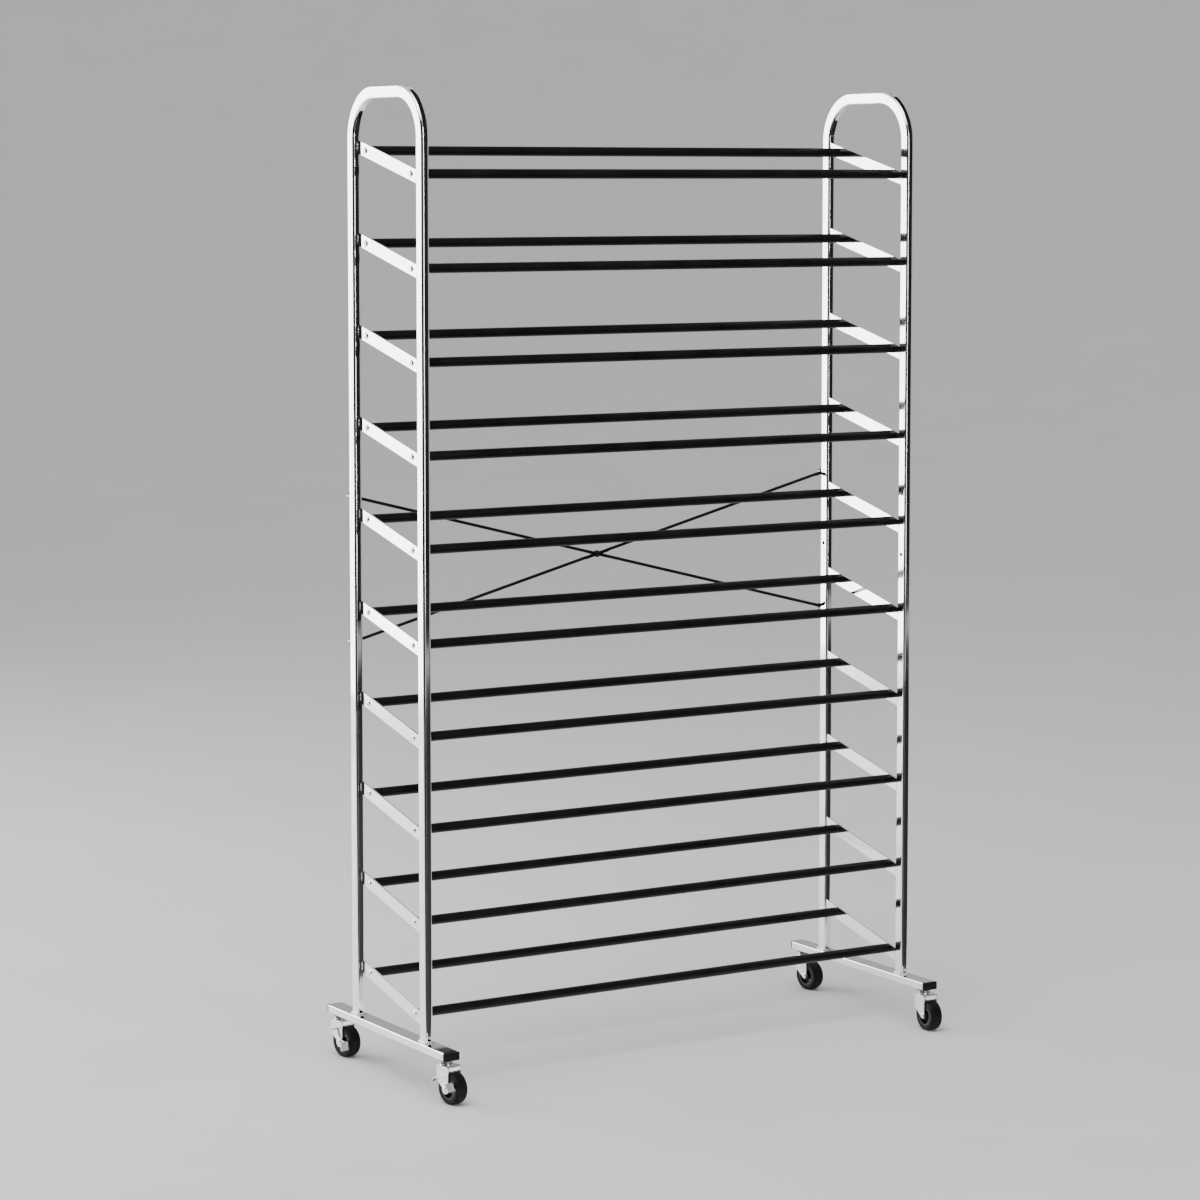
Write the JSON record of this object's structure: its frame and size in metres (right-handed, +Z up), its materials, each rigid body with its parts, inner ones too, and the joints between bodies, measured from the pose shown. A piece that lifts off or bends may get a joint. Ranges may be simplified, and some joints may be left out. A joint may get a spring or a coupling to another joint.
{
  "type": "tiered shoe rack",
  "caption": "Tall rolling shoe rack with chromed tube side frames, sloping pairs of black bars, a rear cross brace and swivel casters with brakes on one side.",
  "frame": {"origin": "on the floor, midway between the side frames and midway between the front and rear posts", "axes": "+Z up; +X to the right seen from the front, along the bars; +Y from the front to the rear"},
  "size_m": [1.0278, 0.4427, 1.672],
  "materials": {
    "chrome_tube": "polished chrome plating",
    "chrome_strip": "polished chrome plating",
    "black_bar": "satin black powder coat",
    "black_brace": "satin black powder coat",
    "black_plastic": "moulded, fine texture",
    "plug_steel": "plain zinc-plated",
    "bright_screw": "bright zinc-plated",
    "black_screw": "black oxide",
    "zinc_caster": "bright zinc-plated",
    "brake_steel": "bright zinc-plated",
    "tyre": "moulded tread, slightly worn",
    "hub_plastic": "moulded"
  },
  "bodies": {
    "rack_frame": {"left_upper_frame": "chrome_tube", "left_base_tube": "chrome_tube", "left_upper_brackets": "chrome_strip", "left_lower_brackets": "chrome_strip", "left_front_lower_post": "chrome_tube", "left_rear_lower_post": "chrome_tube", "right_upper_frame": "chrome_tube", "right_base_tube": "chrome_tube", "right_upper_brackets": "chrome_strip", "right_lower_brackets": "chrome_strip", "right_front_lower_post": "chrome_tube", "right_rear_lower_post": "chrome_tube", "tier_01_front_bar": "black_bar", "tier_01_rear_bar": "black_bar", "tier_02_front_bar": "black_bar", "tier_02_rear_bar": "black_bar", "tier_03_front_bar": "black_bar", "tier_03_rear_bar": "black_bar", "tier_04_front_bar": "black_bar", "tier_04_rear_bar": "black_bar", "tier_05_front_bar": "black_bar", "tier_05_rear_bar": "black_bar", "tier_06_front_bar": "black_bar", "tier_06_rear_bar": "black_bar", "tier_07_front_bar": "black_bar", "tier_07_rear_bar": "black_bar", "tier_08_front_bar": "black_bar", "tier_08_rear_bar": "black_bar", "tier_09_front_bar": "black_bar", "tier_09_rear_bar": "black_bar", "tier_10_front_bar": "black_bar", "tier_10_rear_bar": "black_bar", "post_joint_sleeves": "black_plastic", "post_joint_screws": "black_screw", "base_end_caps": "black_plastic", "bar_end_plugs": "plug_steel", "bar_screws": "bright_screw", "rising_brace_rod": "black_brace", "falling_brace_rod": "black_brace", "brace_bolts": "bright_screw", "brace_pivot_rivet": "black_screw", "caster_stems": "zinc_caster"},
    "left_front_swivel": {"left_front_caster_fork": "zinc_caster", "left_front_axle": "zinc_caster"},
    "left_front_wheel": {"left_front_tyre": "tyre", "left_front_wheel_hub": "hub_plastic"},
    "left_front_brake": {"left_front_brake_lever": "brake_steel"},
    "left_rear_swivel": {"left_rear_caster_fork": "zinc_caster", "left_rear_axle": "zinc_caster"},
    "left_rear_wheel": {"left_rear_tyre": "tyre", "left_rear_wheel_hub": "hub_plastic"},
    "left_rear_brake": {"left_rear_brake_lever": "brake_steel"},
    "right_front_swivel": {"right_front_caster_fork": "zinc_caster", "right_front_axle": "zinc_caster"},
    "right_front_wheel": {"right_front_tyre": "tyre", "right_front_wheel_hub": "hub_plastic"},
    "right_rear_swivel": {"right_rear_caster_fork": "zinc_caster", "right_rear_axle": "zinc_caster"},
    "right_rear_wheel": {"right_rear_tyre": "tyre", "right_rear_wheel_hub": "hub_plastic"}
  },
  "joints": [
    {"name": "left_front_swivel_turn", "type": "hinge", "parent": "rack_frame", "child": "left_front_swivel", "pos_m": [-0.49, -0.188, 0.0635], "axis": [0, 0, 1], "continuous": true},
    {"name": "left_front_wheel_spin", "type": "hinge", "parent": "left_front_swivel", "child": "left_front_wheel", "pos_m": [-0.48718, -0.20578, 0.0268], "axis": [0.9877, 0.1564, 0], "continuous": true},
    {"name": "left_front_brake_press", "type": "hinge", "parent": "left_front_swivel", "child": "left_front_brake", "pos_m": [-0.48718, -0.20578, 0.0268], "axis": [0.9877, 0.1564, 0], "range_deg": [0, 26]},
    {"name": "left_rear_swivel_turn", "type": "hinge", "parent": "rack_frame", "child": "left_rear_swivel", "pos_m": [-0.49, 0.188, 0.0635], "axis": [0, 0, 1], "continuous": true},
    {"name": "left_rear_wheel_spin", "type": "hinge", "parent": "left_rear_swivel", "child": "left_rear_wheel", "pos_m": [-0.48687, 0.17027, 0.0268], "axis": [0.9848, 0.1736, 0], "continuous": true},
    {"name": "left_rear_brake_press", "type": "hinge", "parent": "left_rear_swivel", "child": "left_rear_brake", "pos_m": [-0.48687, 0.17027, 0.0268], "axis": [0.9848, 0.1736, 0], "range_deg": [-26, 0]},
    {"name": "right_front_swivel_turn", "type": "hinge", "parent": "rack_frame", "child": "right_front_swivel", "pos_m": [0.49, -0.188, 0.0635], "axis": [0, 0, 1], "continuous": true},
    {"name": "right_front_wheel_spin", "type": "hinge", "parent": "right_front_swivel", "child": "right_front_wheel", "pos_m": [0.48906, -0.20597, 0.0268], "axis": [0.9986, -0.0523, 0], "continuous": true},
    {"name": "right_rear_swivel_turn", "type": "hinge", "parent": "rack_frame", "child": "right_rear_swivel", "pos_m": [0.49, 0.188, 0.0635], "axis": [0, 0, 1], "continuous": true},
    {"name": "right_rear_wheel_spin", "type": "hinge", "parent": "right_rear_swivel", "child": "right_rear_wheel", "pos_m": [0.49251, 0.17017, 0.0268], "axis": [0.9903, 0.1392, 0], "continuous": true}
  ]
}
